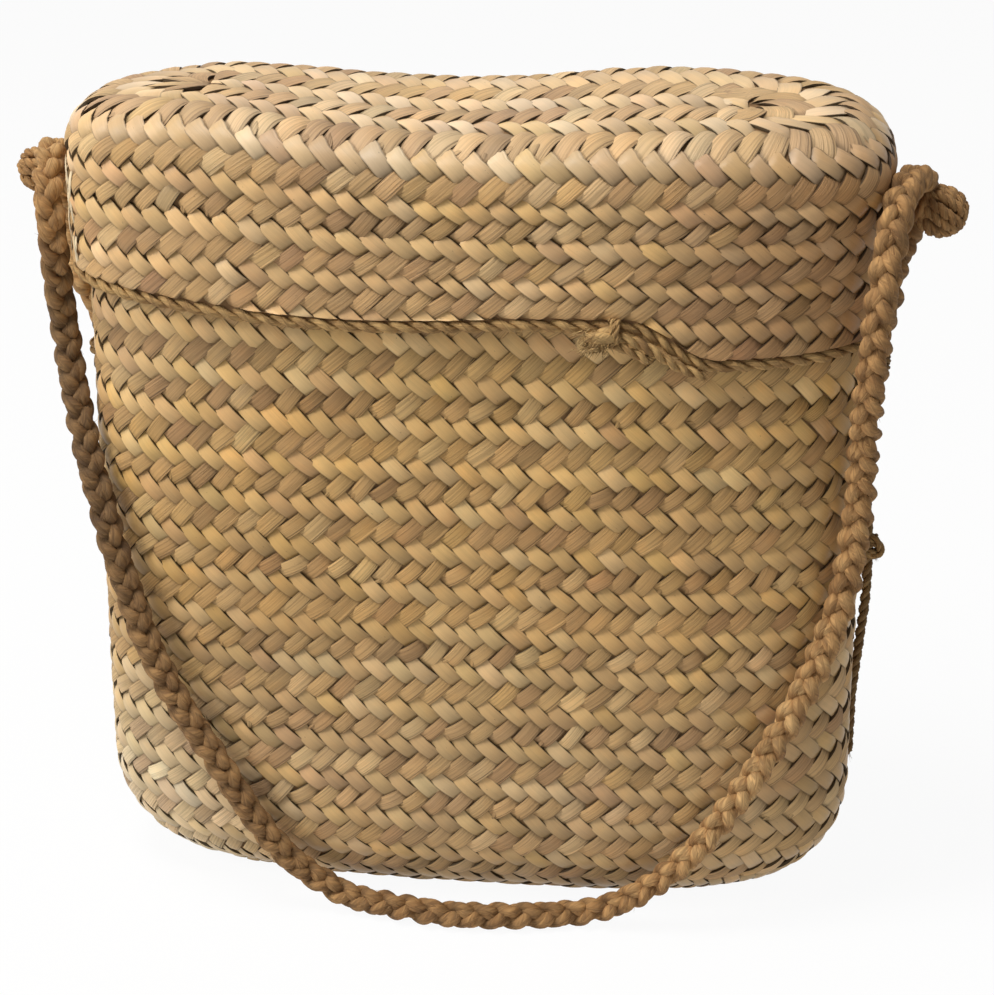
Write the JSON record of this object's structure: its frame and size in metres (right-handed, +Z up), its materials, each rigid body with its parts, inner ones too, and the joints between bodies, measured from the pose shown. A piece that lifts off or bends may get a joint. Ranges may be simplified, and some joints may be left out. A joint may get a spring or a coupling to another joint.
{
  "type": "fishing creel",
  "caption": "Flat-sided oval palm-leaf basket with a herringbone plait, a pull-over lid with a corded rim and a braided rope shoulder strap.",
  "frame": {"origin": "middle of the flat base, on the floor", "axes": "+Z up, -Y out of the front, +X to the right seen from the front"},
  "size_m": [0.4215, 0.1385, 0.3823],
  "materials": {
    "palm_leaf": "dry plaited palm leaf, straw coloured, half matt",
    "rope": "coarse brown braided fibre rope, matt",
    "cord": "thin two-ply twisted fibre cord, matt"
  },
  "bodies": {
    "basket": {"basket": "palm_leaf", "shoulder_strap": "rope", "strap_knot_left": "rope", "strap_knot_right": "rope", "side_cord_left": "cord", "side_cord_right": "cord", "side_cord_knot": "cord"},
    "lid": {"lid": "palm_leaf", "lid_rim_cord": "cord", "lid_rim_knot": "cord"}
  },
  "joints": [
    {"name": "lid_lift", "type": "slide", "parent": "basket", "child": "lid", "axis": [0, 0, 1], "range_m": [0, 0.12]}
  ]
}
